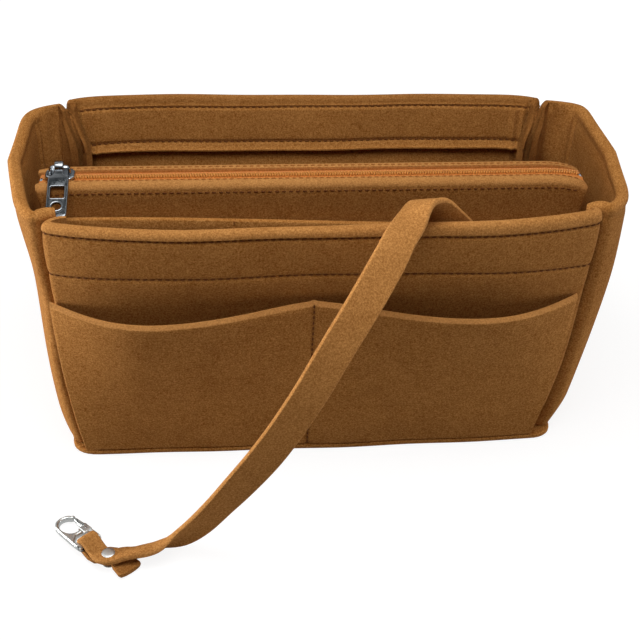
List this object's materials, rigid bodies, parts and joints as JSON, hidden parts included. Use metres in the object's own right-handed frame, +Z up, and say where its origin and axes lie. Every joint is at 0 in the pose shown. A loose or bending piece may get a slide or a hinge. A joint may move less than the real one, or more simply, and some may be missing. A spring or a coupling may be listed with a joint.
{
  "type": "purse organizer insert",
  "caption": "Open felt tub with a folded rim and outer pockets, a zip pouch that lifts out of the middle, and a key strap with a lobster clasp.",
  "frame": {"origin": "middle of the base, on the surface that the insert stands on", "axes": "+X along the length to the right, -Y to the front with the key strap, +Z up"},
  "size_m": [0.297, 0.2224, 0.1583],
  "materials": {
    "felt": "matte pressed felt, camel",
    "strap_felt": "matte pressed felt, camel",
    "zip_tape": "woven polyester tape",
    "zip_coil": "nylon coil, satin",
    "hook_and_loop": "hook and loop nap",
    "nickel": "polished nickel plate"
  },
  "bodies": {
    "tub": {"base_panel": "felt", "front_panel": "felt", "back_panel": "felt", "left_side_panel": "felt", "right_side_panel": "felt", "front_outer_pocket": "felt", "back_outer_pocket": "felt", "wall_loop_patch_left": "hook_and_loop", "wall_loop_patch_right": "hook_and_loop", "key_strap": "strap_felt", "strap_rivet": "nickel"},
    "pouch": {"pouch_front_panel": "felt", "pouch_back_panel": "felt", "pouch_gusset": "felt", "pouch_slip_pocket": "felt", "zip_tape_front": "zip_tape", "zip_tape_back": "zip_tape", "zip_coil_front": "zip_coil", "zip_coil_back": "zip_coil", "zip_stop_left": "nickel", "zip_stop_right": "nickel", "pouch_hook_patch_left": "hook_and_loop", "pouch_hook_patch_right": "hook_and_loop"},
    "slider": {"zip_slider": "nickel"},
    "pull": {"zip_pull": "nickel"},
    "clasp": {"clasp_frame": "nickel", "clasp_gate_pin": "nickel", "clasp_gate_spring": "nickel"},
    "gate": {"clasp_gate": "nickel"}
  },
  "joints": [
    {"name": "pouch_lift", "type": "slide", "parent": "tub", "child": "pouch", "axis": [0, 0, 1], "range_m": [0, 0.13]},
    {"name": "zip_slide", "type": "slide", "parent": "pouch", "child": "slider", "axis": [1, 0, 0], "range_m": [0, 0.2514]},
    {"name": "pull_swing", "type": "hinge", "parent": "slider", "child": "pull", "pos_m": [-0.12573, 0, 0.13795], "axis": [-1, 0, 0], "range_deg": [0, 223]},
    {"name": "clasp_pivot", "type": "hinge", "parent": "tub", "child": "clasp", "pos_m": [-0.11321, -0.12248, 0.0058], "axis": [0.766, 0.6428, 0], "range_deg": [0, 100]},
    {"name": "gate_hinge", "type": "hinge", "parent": "clasp", "child": "gate", "pos_m": [-0.1156, -0.1131, 0.00462], "axis": [-0.0866, 0.1032, 0.9909], "range_deg": [0, 25], "stiffness_Nm_per_rad": 0.01, "springref_deg": -11.46}
  ]
}
